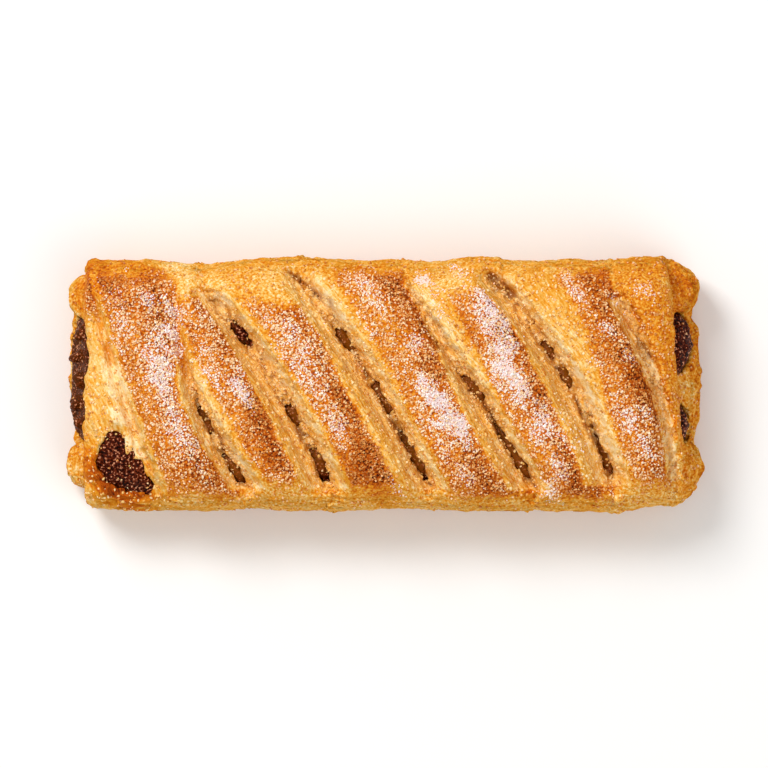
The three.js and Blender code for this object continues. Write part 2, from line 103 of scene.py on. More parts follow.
# Cracks and narrow tears: x and y of both ends, depth and half width
CREASES = [
    (-22.5, 26.5, -14.5, 20, 1.2, 0.5), (24.5, 26, 30.5, 20.5, 1.8, 0.9), (-34, -22, -32.5, -24, 0.7, 0.4),
    (-39, -11.5, -37.5, -15.5, 1.2, 0.5), (-30, 9, -24, -4.5, 0.4, 0.5), (-20.5, -9.5, -19, -13, 1.2, 0.5),
    (-13, 20, -10, 13.5, 0.5, 0.4), (-6.5, 7.5, -3.5, 1.5, 1.8, 0.5), (1, -7.5, 5.5, -15.5, 1.3, 0.5),
    (9.5, -22.5, 11.5, -24, 0.6, 0.4), (8, 15.5, 13, 8, 1.1, 0.4), (13, 9, 18.5, 1.5, 0.5, 0.4),
    (23, -3.5, 28, -13.5, 1.4, 0.5), (31.5, -18.5, 36, -24.5, 1.2, 0.5), (31, 20, 38, 10.5, 0.5, 0.4),
    (44.5, -1.5, 46.5, -8.5, 0.8, 0.4), (46.5, -8.5, 53.5, -21.5, 1, 0.5), (60, 10, 64, 4, 0.8, 0.5),
    (-61.5, -2, -58.5, -10, 0.3, 0.4), (66, 27.5, 69, 17, 0.9, 0.5),
]

# Flakes that have lifted off the torn slat: x, y, half length, half width and lean
FLAKES = [(-63.3, 0, 3.4, 1.5, 0.1), (-61.8, -7.6, 2.4, 2.2, 0.5), (-58.4, -14.8, 2.4, 1.4, 0.5)]


def merged_copy(node, name):
    """A new piece with a CAD node's shape, its loose triangles merged."""
    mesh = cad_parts[node].data.copy()
    shape = bmesh.new()
    shape.from_mesh(mesh)
    bmesh.ops.remove_doubles(shape, verts=shape.verts, dist=MERGE_WITHIN * MM)
    shape.to_mesh(mesh)
    shape.free()
    mesh.materials.clear()
    piece = bpy.data.objects.new(name, mesh)
    bpy.context.scene.collection.objects.link(piece)
    return piece


def apply_modifier(piece, kind, **settings):
    """Adds a modifier with its settings and makes its result the piece's own mesh."""
    modifier = piece.modifiers.new(kind, kind)
    for setting, value in settings.items():
        setattr(modifier, setting, value)
    with bpy.context.temp_override(object=piece, active_object=piece):
        bpy.ops.object.modifier_apply(modifier=modifier.name)


def thin_out(piece, triangles):
    """Merges the flattest faces until that many triangles are left, and shades the piece smooth."""
    apply_modifier(piece, "TRIANGULATE")
    apply_modifier(piece, "DECIMATE", ratio=min(1, triangles / len(piece.data.polygons)))
    piece.data.polygons.foreach_set("use_smooth", np.ones(len(piece.data.polygons), bool))


def points_of(piece):
    """The piece's vertices in millimetres, one row each."""
    flat = np.empty(len(piece.data.vertices) * 3, np.float32)
    piece.data.vertices.foreach_get("co", flat)
    return flat.reshape(-1, 3).astype(float) / MM


def normals_of(piece):
    """The way the surface faces at each vertex, one row each."""
    flat = np.empty(len(piece.data.vertices) * 3, np.float32)
    piece.data.vertex_normals.foreach_get("vector", flat)
    return flat.reshape(-1, 3).astype(float)


def move_points(piece, points):
    """Puts the piece's vertices at new places in millimetres."""
    piece.data.vertices.foreach_set("co", (points * MM).astype(np.float32).ravel())
    piece.data.update()


def noise_at(points, size, seed):
    """Smooth noise of about -1 to 1 at points in millimetres, with features of that size."""
    shifted = points / size + 13.7 * seed
    return np.fromiter(map(noise.noise, shifted.tolist()), float, len(points))


def noise_vectors(points, size, seed):
    """Smooth noise as above, one number for each axis."""
    return np.stack([noise_at(points, size, seed + axis) for axis in range(3)], axis=1)


def smoothstep(values, low, high):
    """From 0 at low to 1 at high, with soft ends."""
    share = np.clip((values - low) / (high - low), 0, 1)
    return share * share * (3 - 2 * share)


def slit_x(slit, y):
    """Where a slit's line is at y."""
    inner = np.clip(y, -LEAN_STOPS_AT, LEAN_STOPS_AT)
    return slit["mid"] - slit["lean"] * inner + slit["bend"] * inner * inner


def along_slit(slit, pair, y):
    """A pair of sizes at the two ends of a slit, blended along it."""
    top, foot = slit["ends"] if pair == "depths" else WALLS_CHANGE
    return slit[pair][1] + (slit[pair][0] - slit[pair][1]) * smoothstep(y, foot, top)


def slit_open(slit, y):
    """From 0 past the ends of a slit to 1 along it."""
    top, foot = slit["ends"]
    return smoothstep(y, foot, foot + SLIT_TAPER) * (1 - smoothstep(y, top - SLIT_TAPER, top))


def lid_height(y):
    """How high the lid would be at y without its slits."""
    across = np.minimum(np.abs(y) / HALF_WIDTH, 1)
    return BELLY_HEIGHT + (ROLL_TOP - BELLY_HEIGHT) * np.sqrt(1 - across**SHOULDER_POWER)


def read_lid(points):
    """What each point lies on: its slat, its shares of slit margin, slit wall, side, torn left slat, last
    slat and pinched corner, how far across its slat it is, how far off and deep the nearest slit is, and
    what share of the slat is the golden strip along its left edge."""
    x, y, _ = points.T
    wobble = 0.6 * noise_at(points, 3, 1) + 0.3 * noise_at(points, 1.1, 2)
    lines = np.stack([slit_x(slit, y) for slit in SLITS])
    depths, lefts, rights = [
        np.stack([along_slit(slit, pair, y) for slit in SLITS]) for pair in ("depths", "left", "right")
    ]
    opened = np.stack([slit_open(slit, y) for slit in SLITS])
    gaps = x + wobble - lines
    flank = np.abs(gaps) / np.where(gaps < 0, lefts, rights)
    margin = (1 - smoothstep(flank, 0.91, 1.03)) * smoothstep(depths * opened, 2, 4)
    wall = (margin * smoothstep(depths * opened, 2.5, 4.5)).max(axis=0)
    nearest = flank.argmin(axis=0)
    slat = (gaps >= 0).sum(axis=0)
    column = np.arange(len(points))
    left = np.where(gaps >= 0, lines + rights, -HALF_LENGTH).max(axis=0)
    right = np.where(gaps < 0, lines - lefts, HALF_LENGTH).min(axis=0)
    knob = smoothstep(np.abs(x), *CORNERS)
    torn_end = (1 - smoothstep(y + 2 * wobble, *TORN_SLAT_STOPS)) * (1 - knob)
    return {
        "slat": slat,
        "margin": margin.max(axis=0),
        "wall": wall,
        "side": np.maximum(smoothstep(np.abs(y), *SIDES), smoothstep(np.abs(x), *ENDS)),
        "torn": (1 - smoothstep(gaps[0] - rights[0], -0.3, 0.3)) * torn_end,
        "across": np.clip((x + wobble - left) / np.maximum(right - left, 1), 0, 1),
        "gap": (x - lines)[nearest, column],
        "depth": depths[nearest, column],
        "golden_edge": 0.03 + 0.11 * smoothstep(rights[np.maximum(slat - 1, 0), column], 2, 4),
        "end_slat": smoothstep(gaps[-1], 1, 3),
        "knob": knob,
    }


def layers_at(points, lid):
    """Where each point lies across the baked layers, in millimetres: down the sides, or out from a slit."""
    depth = lid_height(points[:, 1]) - points[:, 2]
    return np.where(lid["side"] > 0.5, points[:, 2], 0.8 * lid["gap"] + 0.25 * depth)


def crease_depth(points):
    """How deep the cracks and narrow tears are at each point."""
    x, y, z = points.T
    strays = 0.5 * noise_at(points, 4, 15)
    patchy = 0.8 + 0.5 * noise_at(points, 5, 16)
    deepest = np.zeros(len(points))
    for x0, y0, x1, y1, depth, half in CREASES:
        length = np.hypot(x1 - x0, y1 - y0)
        along = ((x - x0) * (x1 - x0) + (y - y0) * (y1 - y0)) / length
        across = ((x - x0) * (y1 - y0) - (y - y0) * (x1 - x0)) / length + strays
        within = smoothstep(along, -1, 1) * (1 - smoothstep(along, length - 1, length + 1))
        deepest = np.maximum(deepest, depth * patchy * within * np.exp(-((across / half) ** 2)))
    return deepest * smoothstep(z, *LID)


def flake_share(points):
    """From 0 beside the loose flakes of the torn slat to 1 on them."""
    ragged_rim = 0.6 * noise_at(points, 1.6, 19)
    share = np.zeros(len(points))
    for x, y, half_length, half_width, lean in FLAKES:
        along = points[:, 1] - y
        across = points[:, 0] - x + lean * along
        rim = (along / half_length) ** 4 + (across / half_width) ** 4 + ragged_rim
        share = np.maximum(share, 1 - smoothstep(rim, 0.6, 1.4))
    return share * smoothstep(points[:, 2], *LID)


def in_slits(points):
    """From 0 at the ends and in the burst patch to 1 where the filling comes up into the slits."""
    x, _, z = points.T
    between_ends = smoothstep(x, *BURST_STOPS) * (1 - smoothstep(x, *RIGHT_END))
    return between_ends * smoothstep(z, *FILLING_IN_SLITS)


def stretched(points, lid):
    """Points drawn out along the layers: across them, along them and nothing else."""
    along = np.where(lid["side"] > 0.5, (points[:, 0] + points[:, 1]) / 12, points[:, 1] / 4)
    return np.stack([layers_at(points, lid), along, 0 * along], axis=1)


pastry = merged_copy("pastry", "pastry_crust")
apply_modifier(pastry, "REMESH", mode="VOXEL", voxel_size=PASTRY_VOXEL * MM)
apply_modifier(pastry, "SMOOTH", factor=0.5, iterations=3)

# How thick the baked layers are, and how far layers, blisters, pits, edges and flakes stand out
LAYER = 1.5
SIDE_RELIEF = 0.7
WALL_RELIEF = 0.14
BLISTER_RELIEF = 0.2
PIT_RELIEF = 0.14
RAGGED = 0.3
RAGGED_AT_TEARS = 1.5
FRAYED = 1.1
FLAKE_RELIEF = 0.5

# Where torn lips at the left end have pulled away: x, y and reach, and how far to the right and back
LIP_PULLS = [
    (-58.3, -15.5, 2.2, -1.8, -0.9), (-66, -14.5, 2, 0.8, 0), (-57, -24.5, 1.6, -0.5, 0.6),
    (-70, 7.5, 4.5, 1.4, 0),
]

# Where the walls of a slit lean together over the filling: x, y and reach along the slit, and the shares of
# the gap that the left and the right wall close. The lean fades over LEANING_REACH from the slit's line, and
# LEANING_SPAN keeps it off the next slit.
LEANING_REACH = 3
LEANING_SPAN = 12
LEANING_WALLS = [
    (-21, -7.5, 3, 0, 0.5), (0, -4, 4, 0, 0.8), (6.5, -15, 7, 0, 0.8), (28, -12, 6, 0.3, 0.5),
    (50, -12.5, 5, 0.7, 0.8),
]
place = points_of(pastry)
lid = read_lid(place)
drawn = stretched(place, lid)
phase = drawn[:, 0] / LAYER + 0.9 * noise_at(drawn, 1.6, 3) + 0.4 * noise_at(place, 2.2, 4)
leaf = smoothstep(phase % 1, 0, 0.7) * (1 - smoothstep(phase % 1, 0.8, 1)) - 0.5
leaf *= np.maximum(WALL_RELIEF * np.maximum(lid["wall"], lid["torn"]), SIDE_RELIEF * lid["side"])
blisters = BLISTER_RELIEF * noise_at(place, 3.4, 5)
blisters += PIT_RELIEF * (1 + lid["wall"]) * noise_at(place, 1.1, 6)
ragged = RAGGED * noise_vectors(place, 2.8, 7)
burst_edge = np.exp(-((place[:, 0] - BURST_X) ** 2 + (place[:, 1] - BURST_Y) ** 2) / BURST_REACH**2)
deep_slit = smoothstep(lid["depth"], 2, 5)
torn_edge = deep_slit * np.exp(-((lid["gap"] / 2.5) ** 2)) + burst_edge
torn_edge += smoothstep(np.abs(place[:, 0]), 66, 69)
ragged *= (1 + RAGGED_AT_TEARS * torn_edge)[:, None]
frayed = FRAYED * noise_vectors(place, 1.3, 24)
ragged += frayed * (deep_slit * np.exp(-((lid["gap"] / 2) ** 2)) + burst_edge)[:, None]
above_base = smoothstep(place[:, 2], 0.6, 2.5)
place += (normals_of(pastry) * (blisters + leaf)[:, None] + ragged) * above_base[:, None]
place[:, 2] += FLAKE_RELIEF * flake_share(place) - crease_depth(place)
for x, y, reach, right, back in LIP_PULLS:
    near = np.exp(-((place[:, 0] - x) ** 2 + (place[:, 1] - y) ** 2) / reach**2)
    near *= smoothstep(place[:, 2], 8, 12)
    place[:, :2] += near[:, None] * (right, back)
for x, y, reach, left, right in LEANING_WALLS:
    near = np.exp(-((lid["gap"] / LEANING_REACH) ** 2) - ((place[:, 1] - y) / reach) ** 2)
    near *= np.abs(place[:, 0] - x) < LEANING_SPAN
    place[:, 0] -= near * lid["gap"] * np.where(lid["gap"] < 0, left, right)
place[:, 2] = np.maximum(place[:, 2], 0)
move_points(pastry, place)
thin_out(pastry, PASTRY_TRIANGLES)

# Where the crust is baked darkest, where filling has boiled over and burnt, where torn layers are palest and
# where icing sugar lies thick: x, y, radius and strength. Patches lean as the slats do.
PATCH_LEAN = 0.5
PATCH_LENGTH = 0.65
DARK_PATCHES = [
    (-64, 23, 5, 0.5), (-56, 23, 6, 0.5), (-29, -7, 5, 0.7), (-27, -13, 5, 0.5), (-8, -6, 4.5, 0.6),
    (-5, -15, 5, 0.8), (-4, -20, 6, 0.9), (-8, -20, 5, 0.7), (2.5, 23, 5, 0.4), (5.5, 17, 4, 0.15),
    (11, 5, 4, 0.7), (22, -23, 6, 0.5), (37, -3, 4, 0.5), (34, 6, 4, 0.5), (29, 13, 4, 0.6),
    (19, 14, 3, 0.5), (51, 22, 6, 0.4), (54, 17, 4, 0.4), (60, 3, 4.5, 1), (62, -3, 4, 0.8),
    (51, 9, 5, 0.3), (45, -24, 5, 0.6), (-43, -21, 5, 0.3), (70, 22, 6, 0.5),
    (-67, 26, 6, 1), (-61, 27, 5, 0.6), (-72, 22, 4, 0.4),
]
BURNT_PATCHES = [
    (-65, -22.5, 5.5, 0.75), (-64, -24, 3, 1), (-61, -25.5, 5, 0.7), (-66.5, -18.5, 3.5, 0.55),
    (-56, -25.5, 3.5, 0.55),
]
PALE_PATCHES = [
    (-62.5, 0.5, 4, 1.5), (-60, -6, 3.5, 0.8), (-59, -14, 3, 0.8), (-47.5, 26, 4.5, 0.8), (-39, 22, 4, 0.5),
    (-26, 22, 4, 0.4), (-13, 20, 3.5, 1), (3, 13, 5, 0.8), (-1.5, 19, 4, 0.6), (15, 24, 4, 0.5),
    (39.5, 18, 3.5, 0.6), (42.5, 11, 4, 0.7), (46, 4, 3.5, 0.6), (49, -5, 3.5, 0.5), (52, -13, 3, 0.4),
    (72.5, -1.5, 4, 1.3), (-57, -10, 4, 0.4), (62, 4, 3, 0.8), (69, -20, 5, 0.4), (66.5, 22, 2.5, 1.3),
    (66, -14, 3, 0.6),
]
FROST_PATCHES = [
    (-55.5, 20, 3.2, 0.8), (-58, 23, 2.5, 0.4), (-63, 20, 4, 0.5), (-61, 14, 3, 0.7), (-62.5, 9, 2, 0.5),
    (-52, 9, 4, 0.7), (-52, 4, 4, 0.8), (-51.5, -1, 4, 0.9), (-50, -5, 2.8, 0.7), (-47, -13, 4, 0.7),
    (-43, -20, 3, 0.4), (-49.8, 17.5, 3, 0.8), (-49.5, 12, 2.8, 0.9), (-48.8, 8, 2.2, 0.8),
    (-42, 18, 3, 0.4), (-41.5, 7.5, 2, 0.6), (-43, 3.5, 2, 0.7), (-39.5, 1, 2.5, 0.7), (-33.5, -2, 3, 0.9),
    (-33.5, 3.5, 2, 0.6), (-22, 11, 5, 0.6), (-20, 6, 5, 0.6), (-24, 7.5, 2.5, 0.7), (-16, 13, 2.5, 0.6),
    (-17, 1, 4.5, 0.6), (-12, -7, 3.5, 0.6), (-10, -12, 3, 0.7), (-16, 17, 4, 0.5), (3, -24, 2.5, 0.6),
    (-4.5, 23, 3.5, 0.6), (-1, 19.5, 3, 0.6), (-4, 13, 2.5, 0.5), (8, 9, 3.5, 0.8), (9.5, -0.5, 4, 0.9),
    (13, -4, 5, 1), (10, -7, 2.5, 0.7), (15.5, -8, 5, 1), (18, -12, 4, 0.8), (14, -15, 2.5, 0.6),
    (18.5, -21, 3, 0.7), (10.5, 22.5, 3.5, 1), (12.5, 18, 3, 1.3), (17, 26.5, 3.5, 0.6),
    (26, 17, 4.5, 0.9), (24, 14, 3.5, 0.8), (28.5, 9, 4, 0.8), (28.5, 4, 5, 1), (26.5, 0, 2.5, 0.7),
    (32, -0.5, 3.5, 0.9), (32, -4, 2.5, 0.8), (37.5, -9, 4, 0.8), (36, -12.5, 2.5, 0.7),
    (41, -20, 2.8, 0.8), (39, -25.5, 3, 0.8), (42, -7, 3, 0.7), (45, -13, 3.5, 0.9), (45, 21.5, 2.5, 0.7),
    (51.5, 13, 2.5, 0.7), (48.5, 5.5, 2.2, 0.5), (61, 21.5, 2.8, 0.7), (54.5, 18.5, 2.5, 0.7),
    (57.5, 6, 2.5, 0.6), (56.5, -7.5, 3, 0.7), (61, -6.5, 2, 0.6), (61, -14.5, 2.8, 0.7),
]


def patches_at(points, patches):
    """How strongly the patches reach each point, with ragged edges."""
    wobble = 0.45 * noise_at(points, 4, 13) + 0.35 * noise_at(points, 1.5, 14)
    reach = np.zeros(len(points))
    for x, y, radius, strength in patches:
        along = points[:, 1] - y
        across = points[:, 0] - x + PATCH_LEAN * along
        distance = np.hypot(across, PATCH_LENGTH * along) / radius + wobble
        reach = np.maximum(reach, strength * (1 - smoothstep(distance, 0.3, 1.2)))
    return reach


# How far across the roll each slat is browned, from its +Y end to its -Y end
BROWNED_ENDS = np.array([
    (26, 15), (25.5, -25.5), (20, -23), (19.5, -23.5), (27, -26), (22, -26.5), (26.5, -23), (24, -10),
])


def browned_share(points, lid):
    """From 0 on walls, shoulders and the torn slat to 1 on the browned middles of the slats."""
    y = points[:, 1] + 2 * noise_at(points, 7, 11) + 1.2 * noise_at(points, 2, 17)
    top, foot = BROWNED_ENDS[lid["slat"]].T
    within = smoothstep(y, foot - 1.5, foot + 1.5) * (1 - smoothstep(y, top - 2.5, top + 1.5))
    return within * (1 - lid["margin"]) * (1 - lid["torn"]) * (1 - lid["knob"]) * (1 - 0.8 * lid["end_slat"])


STRAY_GRAINS = 0.12


def sugar_share(points):
    """How thickly caster sugar lies at each point, from 0 to 1: most on the browned slats."""
    lid = read_lid(points)
    left_edge = smoothstep(lid["across"], 0, lid["golden_edge"])
    patchy = 0.85 + 0.5 * noise_at(points, 5, 31) - 0.25 * patches_at(points, DARK_PATCHES)
    share = browned_share(points, lid) * left_edge * patchy + STRAY_GRAINS
    return np.clip(share * (1 - patches_at(points, BURNT_PATCHES)), 0, 1)


def distance_to(tree, points):
    """How far each point is from the nearest face of the tree, in millimetres."""
    return np.array([tree.find_nearest(point)[3] for point in (points * MM).tolist()]) / MM


def set_attribute(piece, name, values):
    """Stores a number, or a row of three numbers, at each vertex."""
    kind, field = ("FLOAT", "value") if values.ndim == 1 else ("FLOAT_VECTOR", "vector")
    attribute = piece.data.attributes.new(name, kind, "POINT")
    attribute.data.foreach_set(field, values.astype(np.float32).ravel())


# How far the crust is baked, from 0 for cream to 1 for burnt, with painted shade in the slits. The slit
# walls facing the main lamp and those facing away each have a tone deep down and one at the rim, and the
# floors of deep slits are painted darker as shade.
GOLDEN = 0.33
LIT_WALL = (0.15, 0.36)
SHADED_WALL = (0.21, 0.28)
SHADED_SLIT_FLOOR = 0.22
TORN_TONE = 0.26
FLAKE_TONE = 0.03
END_TONE = 0.41
DARKEST = 0.84

# How much darker or paler than golden each part of the crust is
SLATS_DARKER = 0.24
CRESTS_DARKER = 0.14
RIGHT_EDGES_PALER = 0.05
PATCHES_DARKER = 0.2
PATCHES_PALER = 0.16
FOOT_DARKER = 0.14
FRONT_PALER = 0.04
BURNT_DARKER = 0.55
SCORCHED_DARKER = 0.48

# How strongly syrup stains the crumb round the windows, partly painted shade, and the cracks' painted shade
SOAKED_STAIN_AND_SHADE = 0.8
CRACK_SHADE = 0.75
place = points_of(pastry)
lid = read_lid(place)
broad = noise_at(place, 8, 11)
fine = noise_at(place, 2.2, 12)
grainy = noise_at(place, 0.9, 18)
browned = browned_share(place, lid)
deeper = SLATS_DARKER * smoothstep(lid["across"], 0, lid["golden_edge"])
deeper += CRESTS_DARKER * smoothstep(lid["across"], 0.3, 0.8)
deeper -= RIGHT_EDGES_PALER * smoothstep(lid["across"], 0.8, 1)
bake_and_shade = GOLDEN + 0.06 * broad + 0.05 * fine + 0.07 * grainy + browned * (deeper + 0.04 * fine)
lid_share = smoothstep(place[:, 2], 6, 14)
bake_and_shade += PATCHES_DARKER * patches_at(place, DARK_PATCHES) * (1 - lid["wall"]) * lid_share
bake_and_shade += FOOT_DARKER * (1 - smoothstep(place[:, 2] + fine, 1, 5))
bake_and_shade -= FRONT_PALER * smoothstep(-place[:, 1], 24, 27)
bake_and_shade = np.minimum(bake_and_shade, DARKEST)
bake_and_shade += lid["end_slat"] * (1 - lid["wall"]) * (END_TONE - GOLDEN)
bake_and_shade += lid["knob"] * (0.16 * fine + 0.1 * grainy)
# Painted shade: walls that face away from the main lamp take the shaded tones, and the floors of deep slits
# darken
outer = smoothstep(np.abs(lid["gap"]), 3, 6)
lit, shaded = [inner + (rim - inner) * outer for inner, rim in (LIT_WALL, SHADED_WALL)]
wall_tone = np.where(lid["gap"] > 0, lit, shaded)
floor_shade_share = np.exp(-((lid["gap"] / 1.8) ** 2)) * smoothstep(lid["depth"], 4, 7)
wall_tone += (SHADED_SLIT_FLOOR - wall_tone) * floor_shade_share
bake_and_shade += lid["wall"] * (wall_tone + 0.06 * fine + 0.04 * broad + 0.1 * grainy - bake_and_shade)
bake_and_shade += lid["torn"] * (TORN_TONE + 0.06 * fine + 0.06 * grainy - bake_and_shade)
bake_and_shade -= PATCHES_PALER * patches_at(place, PALE_PATCHES) * lid_share
bake_and_shade += flake_share(place) * (FLAKE_TONE - bake_and_shade)
filling_tree = BVHTree.FromObject(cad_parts["mincemeat"], bpy.context.evaluated_depsgraph_get())
to_filling = distance_to(filling_tree, place) + 0.6 * grainy
from_burst = place[:, :2] - (BURST_X, BURST_Y)
lower_left = smoothstep(-0.6 * from_burst[:, 0] - from_burst[:, 1], -1, 3)
lower_left *= 1 - smoothstep(np.hypot(*from_burst.T), BURST_REACH, BURST_REACH + 2)
scorched = SCORCHED_DARKER * lower_left * (1 - smoothstep(to_filling, 1, 5))
bake_and_shade += np.maximum(BURNT_DARKER * patches_at(place, BURNT_PATCHES), scorched) * lid_share
# Syrup stain round each window, partly painted shade: weaker on the walls that face the main lamp
soaked_and_shaded = in_slits(place) * (1 - smoothstep(to_filling, 0.2, 1.8))
soaked_and_shaded *= 1 - 0.7 * smoothstep(lid["gap"], 0.3, 1.5)
set_attribute(pastry, "bake_and_shade", np.clip(bake_and_shade, 0, 1))
# Painted shade darkens the cracks in the slits
cracks_shaded = in_slits(place) * np.minimum(crease_depth(place), CRACK_SHADE)
set_attribute(pastry, "stain_and_shade", np.maximum(SOAKED_STAIN_AND_SHADE * soaked_and_shaded, cracks_shaded))
facing_up = normals_of(pastry)[:, 2]
frost = patches_at(place, FROST_PATCHES) * (1 - 0.5 * lid["wall"]) * smoothstep(facing_up, 0.1, 0.4)
set_attribute(pastry, "frost", frost)
set_attribute(pastry, "sugared", sugar_share(place))
set_attribute(pastry, "layers", stretched(place, lid))
steep_side = lid["side"] * (1 - smoothstep(facing_up, 0.3, 0.7))
set_attribute(pastry, "layered", 0.65 * np.maximum.reduce([lid["wall"], lid["torn"], steep_side]))


def linear(hex_colour):
    """An sRGB hex colour as linear red, green, blue and alpha."""
    channels = [int(hex_colour[i : i + 2], 16) / 255 for i in (1, 3, 5)]
    return [c / 12.92 if c <= 0.04045 else ((c + 0.055) / 1.055) ** 2.4 for c in channels] + [1]


def new_material(name):
    """A material with that name, and its shader."""
    material = bpy.data.materials.new(name)
    material.use_nodes = True
    return material, material.node_tree.nodes["Principled BSDF"]


def add_node(material, kind, inputs=(), stops=(), **settings):
    """Adds a node with its settings. Each input, by name or number, is a value or another node's output. The
    stops of a colour ramp are positions and hex colours."""
    node = material.node_tree.nodes.new(kind)
    for name, value in settings.items():
        setattr(node, name, value)
    for socket, value in dict(inputs).items():
        if isinstance(value, bpy.types.NodeSocket):
            material.node_tree.links.new(value, node.inputs[socket])
        else:
            node.inputs[socket].default_value = value
    for _ in stops[2:]:
        node.color_ramp.elements.new(0.5)
    for index, (position, tone) in enumerate(stops):
        node.color_ramp.elements[index].position = position
        node.color_ramp.elements[index].color = linear(tone)
    return node


# Egg-washed puff pastry, matt and dry: cream where it tore, golden where it is sheltered, brown on the
# crests, grainy all over with crumb and melted sugar
CRUST_TONES = [
    (0.0, "#FFE9B8"), (0.1, "#FBD792"), (0.2, "#F4C068"), (0.32, "#ECA63A"), (0.42, "#E2901E"),
    (0.54, "#D67410"), (0.68, "#C05A0C"), (0.84, "#963C08"), (1.0, "#361208"),
]
# The brown that syrup stains and painted shade multiply into the crust
SYRUP_STAIN_AND_SHADE = "#945010"
GLAZE = "#F2AC58"
ICING_FILM = "#F8ECEC"

# The size of the grain in crumb, layers, melted sugar and icing film, and how far grain changes the tone
CRUMB_GRAIN = 0.6
LAYER_GRAIN = 0.45
SUGAR_GRAIN = 0.45
ICING_GRAIN = 0.45
MOTTLING = 0.28
STREAKING = 0.24
crust, crust_shader = new_material("egg_washed_puff_pastry")
where = add_node(crust, "ShaderNodeTexCoord").outputs["Object"]
baked_and_shaded = add_node(crust, "ShaderNodeAttribute", attribute_name="bake_and_shade").outputs["Fac"]
layers = add_node(crust, "ShaderNodeAttribute", attribute_name="layers").outputs["Vector"]
layered = add_node(crust, "ShaderNodeAttribute", attribute_name="layered").outputs["Fac"]
frosted = add_node(crust, "ShaderNodeAttribute", attribute_name="frost").outputs["Fac"]
sugared = add_node(crust, "ShaderNodeAttribute", attribute_name="sugared").outputs["Fac"]
stained_and_shaded = add_node(crust, "ShaderNodeAttribute", attribute_name="stain_and_shade").outputs["Fac"]
crumb = add_node(
    crust, "ShaderNodeTexNoise",
    {"Vector": where, "Scale": 1 / (CRUMB_GRAIN * MM), "Detail": 3, "Roughness": 0.6},
).outputs["Fac"]
leaves = add_node(
    crust, "ShaderNodeTexNoise", {"Vector": layers, "Scale": 1 / LAYER_GRAIN, "Detail": 2}
).outputs["Fac"]
uneven = add_node(
    crust, "ShaderNodeMapRange",
    {"Value": crumb, "From Min": 0.3, "From Max": 0.7, "To Min": -MOTTLING, "To Max": MOTTLING},
).outputs[0]
streaky = add_node(
    crust, "ShaderNodeMapRange",
    {"Value": leaves, "From Min": 0.3, "From Max": 0.7, "To Min": -STREAKING, "To Max": STREAKING},
).outputs[0]
mottled = add_node(crust, "ShaderNodeMix", {0: layered, 2: uneven, 3: streaky}).outputs[0]
toned = add_node(crust, "ShaderNodeMath", {0: baked_and_shaded, 1: mottled}).outputs[0]
clean = add_node(crust, "ShaderNodeValToRGB", {"Fac": toned}, CRUST_TONES).outputs["Color"]
crusty = add_node(
    crust, "ShaderNodeMix", {0: stained_and_shaded, 6: clean, 7: linear(SYRUP_STAIN_AND_SHADE)},
    data_type="RGBA", blend_type="MULTIPLY",
).outputs[2]
cells = add_node(crust, "ShaderNodeTexVoronoi", {"Vector": where, "Scale": 1 / (SUGAR_GRAIN * MM)})
luck = add_node(crust, "ShaderNodeSeparateColor", {"Color": cells.outputs["Color"]}).outputs["Red"]
chosen = add_node(
    crust, "ShaderNodeMath", {0: sugared, 1: 0.6, 2: luck}, operation="MULTIPLY_ADD"
).outputs[0]
chosen = add_node(crust, "ShaderNodeMapRange", {"Value": chosen, "From Min": 1, "From Max": 1.3}).outputs[0]
dot = add_node(
    crust, "ShaderNodeMapRange",
    {"Value": cells.outputs["Distance"], "From Min": 0.55, "From Max": 0.3, "To Max": 0.75},
).outputs[0]
melted = add_node(crust, "ShaderNodeMath", {0: chosen, 1: dot}, operation="MULTIPLY").outputs[0]
glazed = add_node(
    crust, "ShaderNodeMix", {0: melted, 6: crusty, 7: linear(GLAZE)}, data_type="RGBA"
).outputs[2]
grit = add_node(
    crust, "ShaderNodeTexNoise", {"Vector": where, "Scale": 1 / (ICING_GRAIN * MM), "Detail": 1}
).outputs["Fac"]
dusted = add_node(
    crust, "ShaderNodeMath", {0: frosted, 1: 0.55, 2: grit}, operation="MULTIPLY_ADD"
).outputs[0]
film = add_node(
    crust, "ShaderNodeMapRange", {"Value": dusted, "From Min": 0.9, "From Max": 0.98, "To Max": 0.72}
).outputs[0]
dusty = add_node(
    crust, "ShaderNodeMix", {0: film, 6: glazed, 7: linear(ICING_FILM)}, data_type="RGBA"
).outputs[2]
ridges = add_node(
    crust, "ShaderNodeMath", {0: leaves, 1: layered, 2: crumb}, operation="MULTIPLY_ADD"
).outputs[0]
bump = add_node(
    crust, "ShaderNodeBump", {"Height": ridges, "Strength": 0.7, "Distance": 0.35 * MM}
).outputs[0]
crust.node_tree.links.new(dusty, crust_shader.inputs["Base Color"])
crust.node_tree.links.new(bump, crust_shader.inputs["Normal"])
crust_shader.inputs["Roughness"].default_value = 0.7
crust_shader.inputs["Specular IOR Level"].default_value = 0.05
pastry.data.materials.append(crust)
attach(pastry, "root")
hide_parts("pastry")


# The mincemeat filling
# Chopped dried fruit, sugar, suet and spice, baked to a dark sticky mass. It runs through the roll, fills
# the open ends, shows in the slits and has boiled up through the burst patch.

MINCE_VOXEL = 0.4
MINCE_TRIANGLES = 120000
mincemeat = merged_copy("mincemeat", "mincemeat_filling")
apply_modifier(mincemeat, "REMESH", mode="VOXEL", voxel_size=MINCE_VOXEL * MM)
apply_modifier(mincemeat, "SMOOTH", factor=0.5, iterations=6)

